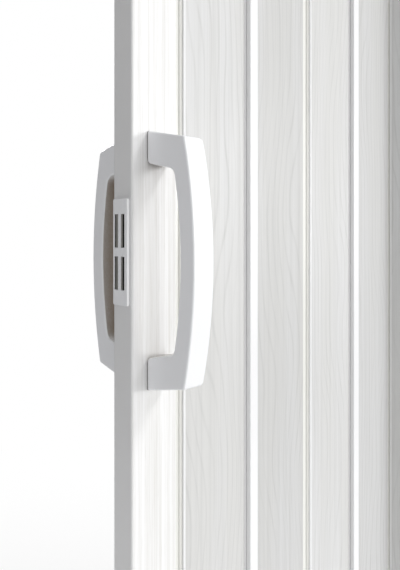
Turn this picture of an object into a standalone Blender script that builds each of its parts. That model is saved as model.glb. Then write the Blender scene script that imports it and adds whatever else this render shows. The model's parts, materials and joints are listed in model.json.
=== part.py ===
"""Accordion door: hollow slats joined by hinge strips and hung from an overhead track.

Metres, +Z up, with the origin at the middle of the track's top face. X runs from the strike jamb
(-X) to the wall jamb (+X), and the door's front faces -Y. The pairs of slats by the wall stand
part folded, and the pairs next to the lead post lie flat.
"""

import math

import bmesh
import bpy
from mathutils import Matrix, Vector

# Fits between pieces
FIT_GAP = 0.0003
PIN_CLEARANCE = 0.0003
CUT_MARGIN = 0.002

# Opening that the door fills
OPENING_HEIGHT = 2.030
FLOOR_GAP = 0.010
CLOSED_GAP = 0.0008

# Slats
SLAT_PAIRS = 4
FOLDED_PAIRS = 2
REST_FOLD = math.radians(64)
FOLD_LIMIT = math.radians(86)
SLAT_PITCH = 0.084
SLAT_THICKNESS = 0.014
SLAT_WALL = 0.0012
SLAT_CHAMBERS = 4
SLAT_EDGE_RADIUS = 0.0014
SLAT_TOP_GAP = 0.002

# Hinge strips and the sockets that they clip into
BEAD_RADIUS = 0.0023
BEAD_CLEARANCE = 0.00025
BEAD_DEPTH = 0.004
SOCKET_WALL = 0.001
WEB_THICKNESS = 0.0012
MOUTH_CLEARANCE = 0.0002
STEM_WIDTH = 0.0018
STEM_GAP = 0.00055
CAP_WIDTH = 0.0104
CAP_THICKNESS = 0.0043
CAP_GAP = 0.0005
CAP_SIDE_GAP = 0.0004
CAP_RADIUS = 0.001

# Overhead track and what hangs in it
TRACK_DEPTH = 0.034
TRACK_HEIGHT = 0.024
TRACK_WALL = 0.0018
TRACK_SLOT = 0.009
TRACK_EDGE_RADIUS = 0.0012
TRACK_HOLES = 4
TRACK_HOLE_INSET = 0.050
FIXING_HOLE_RADIUS = 0.00225
GLIDER_LENGTH = 0.016
GLIDER_HEIGHT = 0.008
GLIDER_SIDE_GAP = 0.0005
GLIDER_CORNER_RADIUS = 0.003
PIN_RADIUS = 0.0025
PIN_DEPTH = 0.0065
PIN_COLLAR_RADIUS = 0.004
PIN_COLLAR_HEIGHT = 0.0015
HANGER_DROP = 0.004
HANGER_WALL = 0.002
HANGER_FLOOR = 0.0015
HANGER_POCKET = 0.010
HANGER_CORNER_RADIUS = 0.0015

# Lead post
POST_WIDTH = 0.042
POST_DEPTH = 0.024
POST_WALL = 0.0018
POST_WEB = 0.0015
POST_WEB_GAP = 0.0025
POST_EDGE_RADIUS = 0.002
POST_CAP_THICKNESS = 0.003
POST_CAP_SPIGOT = 0.008

# Bow handles, one on each face of the post
HANDLE_CENTRE_HEIGHT = 1.000
HANDLE_CENTRE_INSET = 0.023
HANDLE_LENGTH = 0.1912
HANDLE_WIDTH = 0.0188
HANDLE_END_TAPER = 0.009
HANDLE_END_REACH = 0.041
HANDLE_BOW_REACH = 0.0515
HANDLE_LEG_HEIGHT = 0.024
HANDLE_GRIP_REACH = 0.037
HANDLE_GRIP_END_REACH = 0.0295
HANDLE_OUTER_RADIUS = 0.0025
HANDLE_INNER_RADIUS = 0.007
HANDLE_FOOT_RADIUS = 0.0035
HANDLE_EDGE_RADIUS = 0.0014
HANDLE_END_RADIUS = 0.0034
BOLT_INSET = 0.015
BOLT_RADIUS = 0.002
BOLT_HEAD_RADIUS = 0.0038
BOLT_HEAD_HEIGHT = 0.003
BOLT_SEAT_REACH = 0.025
BOLT_BORE_DEPTH = 0.014
BOLT_CLEARANCE = 0.0003

# Magnetic catch in the lead edge
CATCH_RISE = 0.0064
CATCH_WIDTH = 0.0178
CATCH_HEIGHT = 0.078
CATCH_PROUD = 0.0026
CATCH_CORNER_RADIUS = 0.001
CATCH_BEVEL = 0.0006
CATCH_FLANGE_SHIFT = -0.0007
CATCH_BODY_WIDTH = 0.0148
CATCH_BODY_HEIGHT = 0.070
CATCH_BODY_DEPTH = 0.014
SLOT_WIDTH = 0.0045
SLOT_DEPTH = 0.007
SLOT_LENGTH = 0.0245
SLOT_BAR = 0.0066
MAGNET_WIDTH = 0.0036
MAGNET_LENGTH = 0.022
MAGNET_DEPTH = 0.0084
MAGNET_FRONT = 0.0013
POLE_THICKNESS = 0.0026
POLE_RECESS = 0.0003

# Strike jamb and its keeper plate
STRIKE_BASE = 0.008
STRIKE_WALL = 0.0018
STRIKE_FLANGE = 0.012
STRIKE_SIDE_GAP = 0.001
KEEPER_WIDTH = 0.014
KEEPER_HEIGHT = 0.076
KEEPER_THICKNESS = 0.0012
KEEPER_CORNER_RADIUS = 0.0015
KEEPER_SCREW_SPACING = 0.060
SCREW_RADIUS = 0.0013
SCREW_HEAD_RADIUS = 0.0027
SCREW_TIP_GAP = 0.0012

# Wall jamb
WALL_JAMB_DEPTH = 0.024
WALL_JAMB_BODY = 0.024
WALL_JAMB_WALL = 0.0018
WALL_FLANGE_WIDTH = 0.060
WALL_FLANGE_THICKNESS = 0.002
JAMB_HOLE_HEIGHTS = (0.25, 0.80, 1.75)
JAMB_EDGE_RADIUS = 0.001

# Facets
ARC_STEP = math.radians(20)
ARC_STEP_SLACK = 0.01
CORNER_STEPS = 3
FILLET_ROOM = 0.9
SHARED_FILLET_ROOM = 0.45
ROUND_SIDES = 16
BOW_STEPS = 16
EDGE_STEPS = 4
BEVEL_SEGMENTS = 2
SMOOTH_ANGLE = math.radians(35)
WELD_DISTANCE = 0.00001

# Hinge geometry in a frame at the hinge's middle, with the fold closing on the -Y side
SLAT_COUNT = 2 * SLAT_PAIRS
SLAT_HALF = SLAT_THICKNESS / 2
SOCKET_RADIUS = BEAD_RADIUS + BEAD_CLEARANCE
BEAD_SPACING = STEM_WIDTH + 2 * (STEM_GAP + SOCKET_WALL + SOCKET_RADIUS)
BEAD_OFFSET = SLAT_HALF - BEAD_DEPTH
SLAT_REACH = SLAT_PITCH - BEAD_SPACING
MOUTH_HALF = WEB_THICKNESS / 2 + MOUTH_CLEARANCE
MOUTH_ANGLE = math.asin(MOUTH_HALF / SOCKET_RADIUS)
SOCKET_END_ANGLE = 2 * math.pi - FOLD_LIMIT - MOUTH_ANGLE
END_WALL = STEM_WIDTH / 2 + STEM_GAP
LIP = BEAD_SPACING / 2 - SOCKET_RADIUS * math.cos(SOCKET_END_ANGLE)
SOCKET_BACK = BEAD_SPACING / 2 + SOCKET_RADIUS + SLAT_WALL
CAP_UNDERSIDE = SLAT_HALF + CAP_GAP
CAP_TOP = CAP_UNDERSIDE + CAP_THICKNESS
SHOULDER = CAP_WIDTH / 2 + CAP_SIDE_GAP

# Places along the opening
KEEPER_FACE = FIT_GAP + KEEPER_THICKNESS
STRIKE_GAP = KEEPER_FACE + CLOSED_GAP + CATCH_PROUD
POST_LENGTH = LIP + POST_WIDTH
OPENING_WIDTH = STRIKE_BASE + STRIKE_GAP + POST_LENGTH + SLAT_COUNT * SLAT_PITCH + LIP + WALL_JAMB_DEPTH
WALL_HINGE_X = OPENING_WIDTH / 2 - WALL_JAMB_DEPTH - LIP
STRIKE_X = STRIKE_BASE - OPENING_WIDTH / 2

# Heights
FLOOR_Z = -OPENING_HEIGHT
JAMB_TOP_Z = -TRACK_HEIGHT - FIT_GAP
HANGER_TOP_Z = -TRACK_HEIGHT - HANGER_DROP
HANGER_BOTTOM_Z = HANGER_TOP_Z - PIN_DEPTH - HANGER_FLOOR - HANGER_POCKET
SLAT_TOP_Z = HANGER_BOTTOM_Z - SLAT_TOP_GAP
SLAT_BOTTOM_Z = FLOOR_Z + FLOOR_GAP
HUNG_STRIP_TOP_Z = HANGER_BOTTOM_Z + HANGER_POCKET - FIT_GAP
POST_TOP_Z = HANGER_TOP_Z - POST_CAP_THICKNESS - FIT_GAP
POST_BOTTOM_Z = SLAT_BOTTOM_Z + POST_CAP_THICKNESS + FIT_GAP
GLIDER_BOTTOM_Z = TRACK_WALL + FIT_GAP - TRACK_HEIGHT
HANDLE_Z = FLOOR_Z + HANDLE_CENTRE_HEIGHT
CATCH_Z = HANDLE_Z + CATCH_RISE

# Places inside the lead post, measured from the lead hinge towards the lead edge
LEAD_FACE = -POST_LENGTH
WEB_START = LEAD_FACE + CATCH_BODY_DEPTH + POST_WEB_GAP
POST_CHAMBERS = (
    (LEAD_FACE + POST_WALL, WEB_START),
    (WEB_START + POST_WEB, -max(SOCKET_BACK, SHOULDER + POST_WALL)),
)
HANDLE_X = LEAD_FACE + HANDLE_CENTRE_INSET
POST_HALF = POST_DEPTH / 2
POST_INNER_HALF = POST_HALF - POST_WALL

# An outline drawn in Y and Z and drawn out along X is turned by this
ACROSS = (math.pi / 2, 0, math.pi / 2)

for leftover in list(bpy.data.objects):
    bpy.data.objects.remove(leftover)
parts = bpy.data.collections.new("accordion_door")
cutters = bpy.data.collections.new("accordion_door_cutters")
bpy.context.scene.collection.children.link(parts)
bpy.context.scene.collection.children.link(cutters)


# Materials

def make_material(name, colour, roughness, metallic=0.0):
    material = bpy.data.materials.new(name)
    material.use_nodes = True
    shader = material.node_tree.nodes["Principled BSDF"]
    shader.inputs["Base Color"].default_value = (*colour, 1.0)
    shader.inputs["Roughness"].default_value = roughness
    shader.inputs["Metallic"].default_value = metallic
    return material


GRAINED_PVC = make_material("grained_white_pvc", (0.80, 0.80, 0.81), 0.45)
PLAIN_PVC = make_material("plain_white_pvc", (0.87, 0.87, 0.88), 0.35)
GLOSS_PLASTIC = make_material("white_handle_plastic", (0.88, 0.88, 0.90), 0.22)
NYLON = make_material("natural_nylon", (0.75, 0.74, 0.70), 0.40)
PAINTED_ALUMINIUM = make_material("white_painted_aluminium", (0.82, 0.82, 0.82), 0.35)
ZINC_STEEL = make_material("zinc_plated_steel", (0.60, 0.61, 0.63), 0.30, 1.0)
FERRITE = make_material("ferrite_magnet", (0.05, 0.05, 0.055), 0.60)


# Outlines: lists of 2D points

def arc(centre, radius, start, end):
    """Points on an arc between two angles, both ends included."""
    steps = max(1, math.ceil(abs(end - start) / ARC_STEP - ARC_STEP_SLACK))
    turns = [start + (end - start) * step / steps for step in range(steps + 1)]
    return [centre + radius * Vector((math.cos(turn), math.sin(turn))) for turn in turns]


def room_for_fillet(side, far_radius):
    """Length of a side that one fillet may use, less where the side's far end is rounded too."""
    return side.length * (SHARED_FILLET_ROOM if far_radius else FILLET_ROOM)


def rounded(corners):
    """Closed outline through (point, radius) corners, each radius limited by the sides beside it."""
    outline = []
    for index, (corner, radius) in enumerate(corners):
        if radius == 0:
            outline.append(corner)
            continue
        last_corner, last_radius = corners[index - 1]
        next_corner, next_radius = corners[(index + 1) % len(corners)]
        before = last_corner - corner
        after = next_corner - corner
        turn = math.pi - before.angle(after)
        room = min(room_for_fillet(before, last_radius), room_for_fillet(after, next_radius))
        reach = min(radius * math.tan(turn / 2), room)
        start = corner + before.normalized() * reach
        inward = (before.normalized() + after.normalized()).normalized()
        centre = corner + inward * (reach / math.sin(turn / 2))
        way = 1 if after.cross(before) > 0 else -1
        for step in range(CORNER_STEPS + 1):
            swing = Matrix.Rotation(way * turn * step / CORNER_STEPS, 2)
            outline.append(centre + swing @ (start - centre))
    return outline


def sharp(points):
    return [(Vector(point), 0) for point in points]


def rectangle(low, high, radius=0.0):
    corners = [(low[0], low[1]), (high[0], low[1]), (high[0], high[1]), (low[0], high[1])]
    return rounded([(Vector(corner), radius) for corner in corners])


def mirrored(outline):
    return [Vector((-point.x, point.y)) for point in outline]


def turned_half_round(corners):
    return [(-point, radius) for point, radius in corners]


def shifted(corners, x):
    return [(point + Vector((x, 0)), radius) for point, radius in corners]


def socket_corners():
    """A slat's end from its back edge round the bead's socket, with the slat on the -X side."""
    bead = Vector((-BEAD_SPACING / 2, -BEAD_OFFSET))
    mouth_top = bead.y + MOUTH_HALF
    back_edge = (Vector((-END_WALL, SLAT_HALF)), SLAT_EDGE_RADIUS)
    mouth_edge = Vector((-END_WALL, mouth_top))
    ring = arc(bead, SOCKET_RADIUS, MOUTH_ANGLE, SOCKET_END_ANGLE)
    return [back_edge, *sharp([mouth_edge, *ring])]


def slat_outline():
    lip_edge = (Vector((-LIP, -SLAT_HALF)), SLAT_EDGE_RADIUS)
    end = shifted([*socket_corners(), lip_edge], SLAT_PITCH / 2)
    return rounded(end + turned_half_round(end))


def slat_chambers():
    """Main chambers between the sockets, and a small one behind each socket."""
    inside = SLAT_HALF - SLAT_WALL
    half = SLAT_PITCH / 2 - SOCKET_BACK
    width = (2 * half - (SLAT_CHAMBERS - 1) * SLAT_WALL) / SLAT_CHAMBERS
    holes = []
    for number in range(SLAT_CHAMBERS):
        left = -half + number * (width + SLAT_WALL)
        holes.append(rectangle((left, -inside), (left + width, inside)))
    end_low = (half + SLAT_WALL, SOCKET_RADIUS + SLAT_WALL - BEAD_OFFSET)
    end_high = (SLAT_PITCH / 2 - END_WALL - SLAT_WALL, inside)
    end_chamber = rectangle(end_low, end_high)
    return [*holes, end_chamber, [-point for point in end_chamber]]


def strip_outline():
    """Hinge strip: a cap, a stem, and a web that carries a bead on each edge."""
    edge = CAP_WIDTH / 2
    stem = STEM_WIDTH / 2
    half_web = WEB_THICKNESS / 2
    web_angle = math.asin(half_web / BEAD_RADIUS)
    web_top = half_web - BEAD_OFFSET
    right_bead = Vector((BEAD_SPACING / 2, -BEAD_OFFSET))
    left_bead = Vector((-BEAD_SPACING / 2, -BEAD_OFFSET))
    cap_top = [(Vector((-edge, CAP_TOP)), CAP_RADIUS), (Vector((edge, CAP_TOP)), CAP_RADIUS)]
    right_side = sharp([(edge, CAP_UNDERSIDE), (stem, CAP_UNDERSIDE), (stem, web_top)])
    left_side = sharp([(-stem, web_top), (-stem, CAP_UNDERSIDE), (-edge, CAP_UNDERSIDE)])
    right_ring = arc(right_bead, BEAD_RADIUS, math.pi - web_angle, web_angle - math.pi)
    left_ring = arc(left_bead, BEAD_RADIUS, -web_angle, web_angle - 2 * math.pi)
    return rounded([*cap_top, *right_side, *sharp([*right_ring, *left_ring]), *left_side])


def hinged_body_corners(half_depth, edge_radius):
    """The end of a post or jamb, deeper than a slat, round the socket of its hinge strip."""
    back = (Vector((-SHOULDER, half_depth)), edge_radius)
    shoulder = (Vector((-SHOULDER, SLAT_HALF)), 0)
    front = (Vector((-LIP, -half_depth)), edge_radius)
    return [back, shoulder, *socket_corners(), front]


def post_outline():
    lead_edge = [
        (Vector((LEAD_FACE, -POST_HALF)), POST_EDGE_RADIUS),
        (Vector((LEAD_FACE, POST_HALF)), POST_EDGE_RADIUS),
    ]
    return rounded(hinged_body_corners(POST_HALF, POST_EDGE_RADIUS) + lead_edge)


def post_chambers():
    return [
        rectangle((low, -POST_INNER_HALF), (high, POST_INNER_HALF)) for low, high in POST_CHAMBERS
    ]


def wall_jamb_outline():
    wall = -LIP - WALL_JAMB_DEPTH
    flange = wall + WALL_FLANGE_THICKNESS
    body = WALL_JAMB_BODY / 2
    edge = WALL_FLANGE_WIDTH / 2
    wall_side = sharp(
        [(flange, -body), (flange, -edge), (wall, -edge), (wall, edge), (flange, edge), (flange, body)]
    )
    return mirrored(rounded(hinged_body_corners(body, JAMB_EDGE_RADIUS) + wall_side))


def wall_jamb_chamber():
    near = max(SOCKET_BACK, SHOULDER + WALL_JAMB_WALL)
    far = LIP + WALL_JAMB_DEPTH - WALL_JAMB_WALL
    inside = WALL_JAMB_BODY / 2 - WALL_JAMB_WALL
    return rectangle((near, -inside), (far, inside))


def strike_jamb_outline():
    """A channel that the lead post enters, drawn with its base face at x = 0."""
    inner = POST_HALF + STRIKE_SIDE_GAP
    outer = inner + STRIKE_WALL
    points = [
        (-STRIKE_BASE, -outer),
        (-STRIKE_BASE, outer),
        (STRIKE_FLANGE, outer),
        (STRIKE_FLANGE, inner),
        (0, inner),
        (0, -inner),
        (STRIKE_FLANGE, -inner),
        (STRIKE_FLANGE, -outer),
    ]
    return [Vector(point) for point in points]


def strike_jamb_chamber():
    side = POST_HALF + STRIKE_SIDE_GAP - STRIKE_WALL / 2
    return rectangle((STRIKE_WALL - STRIKE_BASE, -side), (-STRIKE_WALL, side))


def track_outline():
    outer = TRACK_DEPTH / 2
    inner = outer - TRACK_WALL
    slot = TRACK_SLOT / 2
    floor = TRACK_WALL - TRACK_HEIGHT
    outside = [(-outer, -TRACK_HEIGHT), (-outer, 0), (outer, 0), (outer, -TRACK_HEIGHT)]
    inside = [
        (slot, -TRACK_HEIGHT),
        (slot, floor),
        (inner, floor),
        (inner, -TRACK_WALL),
        (-inner, -TRACK_WALL),
        (-inner, floor),
        (-slot, floor),
        (-slot, -TRACK_HEIGHT),
    ]
    edges = [(Vector(point), TRACK_EDGE_RADIUS) for point in outside]
    return rounded(edges + sharp(inside))


def bow(end_reach, end_height, middle_reach):
    """Points of a shallow arc in reach and height, from its upper end to its lower end."""
    rise = middle_reach - end_reach
    radius = (end_height**2 + rise**2) / (2 * rise)
    half = math.asin(end_height / radius)
    turns = [half - 2 * half * step / BOW_STEPS for step in range(BOW_STEPS + 1)]
    centre = middle_reach - radius
    return [(centre + radius * math.cos(turn), radius * math.sin(turn)) for turn in turns]


def handle_outline(side, edge_inset, end_inset):
    """Bow handle seen from the side, reaching out from the post along side times Y.

    The insets draw its faces and its two ends in, for a section near the handle's own side.
    """
    base = HANDLE_LENGTH / 2 - end_inset
    leg = HANDLE_LENGTH / 2 - HANDLE_LEG_HEIGHT + edge_inset
    lean = HANDLE_END_TAPER / HANDLE_END_REACH
    grip_end = leg - lean * HANDLE_GRIP_END_REACH
    outer = bow(HANDLE_END_REACH - edge_inset, base - HANDLE_END_TAPER, HANDLE_BOW_REACH - edge_inset)
    inner = bow(HANDLE_GRIP_END_REACH + edge_inset, grip_end, HANDLE_GRIP_REACH + edge_inset)
    inner.reverse()
    corners = [
        *sharp([(0, base)]),
        (Vector(outer[0]), HANDLE_OUTER_RADIUS),
        *sharp(outer[1:-1]),
        (Vector(outer[-1]), HANDLE_OUTER_RADIUS),
        *sharp([(0, -base)]),
        (Vector((0, -leg)), HANDLE_FOOT_RADIUS),
        (Vector(inner[0]), HANDLE_INNER_RADIUS),
        *sharp(inner[1:-1]),
        (Vector(inner[-1]), HANDLE_INNER_RADIUS),
        (Vector((0, leg)), HANDLE_FOOT_RADIUS),
    ]
    return [Vector((side * point.x, point.y)) for point in rounded(corners)]


def round_inset(radius, depth):
    """How far a rounded edge draws a face in, at a depth below the side that it rounds into."""
    left = max(radius - depth, 0)
    return radius - math.sqrt(radius**2 - left**2)


def handle_sections(side):
    """Sections across a handle's width as (place, outline), from its left side to its right."""
    half = HANDLE_WIDTH / 2
    turns = [math.pi / 2 * step / EDGE_STEPS for step in range(EDGE_STEPS + 1)]
    sections = []
    for turn in turns:
        depth = HANDLE_EDGE_RADIUS * (1 - math.cos(turn))
        inset = round_inset(HANDLE_EDGE_RADIUS, depth)
        sections.append((depth - half, handle_outline(side, inset, inset)))
    for turn in reversed(turns):
        depth = HANDLE_END_RADIUS * (1 - math.cos(turn))
        edge_inset = round_inset(HANDLE_EDGE_RADIUS, depth)
        end_inset = round_inset(HANDLE_END_RADIUS, depth)
        sections.append((half - depth, handle_outline(side, edge_inset, end_inset)))
    return sections


# Solids

def mesh_from(shape, name):
    bmesh.ops.recalc_face_normals(shape, faces=shape.faces)
    mesh = bpy.data.meshes.new(name)
    shape.to_mesh(mesh)
    shape.free()
    return mesh


def extruded(name, outer, holes, low, high):
    """Outline with holes, drawn out along Z from low to high."""
    curve = bpy.data.curves.new(name, "CURVE")
    curve.dimensions = "2D"
    curve.fill_mode = "BOTH"
    curve.extrude = (high - low) / 2
    for loop in [outer, *holes]:
        spline = curve.splines.new("POLY")
        spline.points.add(len(loop) - 1)
        spline.use_cyclic_u = True
        for point, place in zip(spline.points, loop):
            point.co = (place.x, place.y, 0, 1)
    drawn = bpy.data.objects.new(name, curve)
    bpy.context.scene.collection.objects.link(drawn)
    evaluated = drawn.evaluated_get(bpy.context.evaluated_depsgraph_get())
    rough = bpy.data.meshes.new_from_object(evaluated)
    shape = bmesh.new()
    shape.from_mesh(rough)
    bmesh.ops.remove_doubles(shape, verts=shape.verts, dist=WELD_DISTANCE)
    bmesh.ops.translate(shape, verts=shape.verts, vec=(0, 0, (low + high) / 2))
    bpy.data.objects.remove(drawn)
    bpy.data.curves.remove(curve)
    bpy.data.meshes.remove(rough)
    return mesh_from(shape, name)


def lofted(name, sections):
    """Skin over (place, outline) sections across Z, closed at both ends."""
    shape = bmesh.new()
    loops = [
        [shape.verts.new((point.x, point.y, place)) for point in outline] for place, outline in sections
    ]
    for near, far in zip(loops, loops[1:]):
        for index in range(len(near)):
            shape.faces.new((near[index - 1], near[index], far[index], far[index - 1]))
    shape.faces.new(loops[0])
    shape.faces.new(loops[-1])
    return mesh_from(shape, name)


def bevelled(mesh, width, chosen):
    """Rounds the edges whose two ends both satisfy chosen."""
    shape = bmesh.new()
    shape.from_mesh(mesh)
    edges = [
        edge
        for edge in shape.edges
        if all(chosen(corner.co) for corner in edge.verts) and edge.calc_face_angle() > SMOOTH_ANGLE
    ]
    bmesh.ops.bevel(
        shape,
        geom=edges,
        offset=width,
        segments=BEVEL_SEGMENTS,
        profile=0.5,
        affect="EDGES",
        clamp_overlap=True,
    )
    shape.to_mesh(mesh)
    shape.free()
    return mesh


def box(low, high):
    low = Vector(low)
    high = Vector(high)
    shape = bmesh.new()
    placed = Matrix.LocRotScale((low + high) / 2, None, high - low)
    bmesh.ops.create_cube(shape, size=1.0, matrix=placed)
    return mesh_from(shape, "box")


def cone(start_radius, end_radius, start, end):
    start = Vector(start)
    end = Vector(end)
    run = end - start
    placed = Matrix.LocRotScale((start + end) / 2, run.to_track_quat("Z", "Y"), None)
    shape = bmesh.new()
    bmesh.ops.create_cone(
        shape,
        cap_ends=True,
        segments=ROUND_SIDES,
        radius1=start_radius,
        radius2=end_radius,
        depth=run.length,
        matrix=placed,
    )
    return mesh_from(shape, "cone")


def rod(radius, start, end):
    return cone(radius, radius, start, end)


def add_part(name, mesh, material, parent=None, location=(0, 0, 0), rotation=(0, 0, 0)):
    mesh.name = name
    mesh.materials.append(material)
    mesh.shade_smooth()
    mesh.set_sharp_from_angle(angle=SMOOTH_ANGLE)
    part = bpy.data.objects.new(name, mesh)
    part.parent = parent
    part.location = location
    part.rotation_euler = rotation
    parts.objects.link(part)
    return part


def add_turned_part(name, profile, material, parent=None, location=(0, 0, 0), rotation=(0, 0, 0)):
    """Round piece: a profile of radius and height, from the top down, turned about Z."""
    shape = bmesh.new()
    corners = [shape.verts.new((radius, 0, height)) for radius, height in profile]
    for upper, lower in zip(corners, corners[1:]):
        shape.edges.new((upper, lower))
    mesh = bpy.data.meshes.new(name)
    shape.to_mesh(mesh)
    shape.free()
    part = add_part(name, mesh, material, parent, location, rotation)
    turning = part.modifiers.new("turning", "SCREW")
    turning.steps = ROUND_SIDES
    turning.render_steps = ROUND_SIDES
    turning.use_merge_vertices = True
    turning.merge_threshold = WELD_DISTANCE
    return part


def combine(part, mesh, operation, solver):
    """Cuts a solid from a part, or joins it on, in the frame of the part's parent."""
    tool = bpy.data.objects.new(f"{part.name}_{operation.lower()}", mesh)
    tool.parent = part.parent
    tool.hide_render = True
    tool.display_type = "WIRE"
    cutters.objects.link(tool)
    modifier = part.modifiers.new(operation.lower(), "BOOLEAN")
    modifier.operation = operation
    modifier.solver = solver
    modifier.object = tool


def cut(part, mesh):
    combine(part, mesh, "DIFFERENCE", "EXACT")


def cut_long(part, mesh):
    """Small cut in a long extrusion, whose slender faces the exact solver can leave open."""
    combine(part, mesh, "DIFFERENCE", "MANIFOLD")


def join(part, mesh):
    combine(part, mesh, "UNION", "EXACT")


def add_axis(name, parent, location, turn=0.0):
    """Empty on a hinge axis or at a sub-assembly's own origin."""
    axis = bpy.data.objects.new(name, None)
    axis.parent = parent
    axis.location = location
    axis.rotation_euler = (0, 0, turn)
    parts.objects.link(axis)
    return axis


# Fixed pieces: the track, the jambs and the keeper

def build_track():
    half = OPENING_WIDTH / 2
    mesh = extruded("track", track_outline(), [], -half, half)
    track = add_part("track", mesh, PAINTED_ALUMINIUM, rotation=ACROSS)
    span = OPENING_WIDTH - 2 * TRACK_HOLE_INSET
    for number in range(TRACK_HOLES):
        x = span * (number / (TRACK_HOLES - 1) - 0.5)
        cut_long(track, rod(FIXING_HOLE_RADIUS, (x, 0, CUT_MARGIN), (x, 0, -TRACK_WALL - CUT_MARGIN)))


def build_wall_jamb():
    mesh = extruded("wall_jamb", wall_jamb_outline(), [wall_jamb_chamber()], FLOOR_Z, JAMB_TOP_Z)
    jamb = add_part("wall_jamb", mesh, PLAIN_PVC, location=(WALL_HINGE_X, 0, 0))
    wall = OPENING_WIDTH / 2
    hole_y = (WALL_JAMB_BODY + WALL_FLANGE_WIDTH) / 4
    for height in JAMB_HOLE_HEIGHTS:
        z = FLOOR_Z + height
        for y in (-hole_y, hole_y):
            near = (wall - WALL_FLANGE_THICKNESS - CUT_MARGIN, y, z)
            cut_long(jamb, rod(FIXING_HOLE_RADIUS, near, (wall + CUT_MARGIN, y, z)))


def keeper_screw_heights():
    return {
        "upper": CATCH_Z + KEEPER_SCREW_SPACING / 2,
        "lower": CATCH_Z - KEEPER_SCREW_SPACING / 2,
    }


def build_strike_jamb():
    mesh = extruded("strike_jamb", strike_jamb_outline(), [strike_jamb_chamber()], FLOOR_Z, JAMB_TOP_Z)
    jamb = add_part("strike_jamb", mesh, PLAIN_PVC, location=(STRIKE_X, 0, 0))
    for height in JAMB_HOLE_HEIGHTS:
        z = FLOOR_Z + height
        near = (STRIKE_X + CUT_MARGIN, 0, z)
        cut_long(jamb, rod(FIXING_HOLE_RADIUS, near, (STRIKE_X - STRIKE_BASE - CUT_MARGIN, 0, z)))
    for z in keeper_screw_heights().values():
        near = (STRIKE_X + CUT_MARGIN, 0, z)
        cut_long(jamb, rod(SCREW_RADIUS + PIN_CLEARANCE, near, (STRIKE_X - STRIKE_WALL - FIT_GAP, 0, z)))


def build_keeper():
    face = STRIKE_X + KEEPER_FACE
    outline = rectangle(
        (-KEEPER_WIDTH / 2, CATCH_Z - KEEPER_HEIGHT / 2),
        (KEEPER_WIDTH / 2, CATCH_Z + KEEPER_HEIGHT / 2),
        KEEPER_CORNER_RADIUS,
    )
    mesh = extruded("keeper_plate", outline, [], STRIKE_X + FIT_GAP, face)
    keeper = add_part("keeper_plate", mesh, ZINC_STEEL, rotation=ACROSS)
    slope = (SCREW_HEAD_RADIUS - SCREW_RADIUS) / KEEPER_THICKNESS
    tip = STRIKE_X - STRIKE_BASE + STRIKE_WALL + SCREW_TIP_GAP
    profile = [
        (0, 0),
        (SCREW_HEAD_RADIUS, 0),
        (SCREW_RADIUS, -KEEPER_THICKNESS),
        (SCREW_RADIUS, tip - face),
        (0, tip - face),
    ]
    spread = FIT_GAP * slope
    wide = SCREW_HEAD_RADIUS + PIN_CLEARANCE + spread
    narrow = SCREW_RADIUS + PIN_CLEARANCE - spread
    for name, z in keeper_screw_heights().items():
        cut(keeper, cone(wide, narrow, (face + FIT_GAP, 0, z), (STRIKE_X, 0, z)))
        screw_turn = (0, math.pi / 2, 0)
        add_turned_part(f"keeper_screw_{name}", profile, ZINC_STEEL, None, (face, 0, z), screw_turn)


# The folding curtain of slats and hinge strips

def fold_at_rest(slat_number):
    return REST_FOLD if slat_number <= 2 * FOLDED_PAIRS else 0.0


def add_strip(name, parent, location, bottom, top, turn=0.0):
    mesh = extruded(name, strip_outline(), [], bottom, top)
    add_part(name, mesh, PLAIN_PVC, parent, location, (0, 0, turn))


def build_curtain():
    """Chain of axes from the wall jamb to the lead post. Returns an empty at the lead hinge."""
    add_strip("hinge_strip_wall", None, (WALL_HINGE_X, 0, 0), SLAT_BOTTOM_Z, SLAT_TOP_Z)
    middle_z = (SLAT_TOP_Z + SLAT_BOTTOM_Z) / 2
    half_length = (SLAT_TOP_Z - SLAT_BOTTOM_Z) / 2
    carrier = None
    place = (WALL_HINGE_X - BEAD_SPACING / 2, -BEAD_OFFSET, 0)
    for number in range(1, SLAT_COUNT + 1):
        odd = number % 2 == 1
        swing = 1 if odd else -1
        turn = swing * fold_at_rest(number)
        slat_axis = add_axis(f"slat_{number}_axis", carrier, place, turn)
        mesh = extruded(f"slat_{number}", slat_outline(), slat_chambers(), -half_length, half_length)
        middle = (-SLAT_REACH / 2, swing * BEAD_OFFSET, middle_z)
        flip = 0 if odd else math.pi
        add_part(f"slat_{number}", mesh, GRAINED_PVC, slat_axis, middle, (flip, 0, 0))
        far_bead = (-SLAT_REACH, swing * 2 * BEAD_OFFSET, 0)
        carrier = add_axis(f"strip_{number}_axis", slat_axis, far_bead, -turn)
        place = (-BEAD_SPACING, 0, 0)
        hinge = (-BEAD_SPACING / 2, -swing * BEAD_OFFSET, 0)
        if number == SLAT_COUNT:
            break
        top = SLAT_TOP_Z if odd else HUNG_STRIP_TOP_Z
        add_strip(f"hinge_strip_{number}", carrier, hinge, SLAT_BOTTOM_Z, top, math.pi if odd else 0)
        if not odd:
            build_hanger(number, add_axis(f"hanger_{number}_frame", carrier, hinge))
    return add_axis("lead_post_frame", carrier, hinge)


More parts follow.
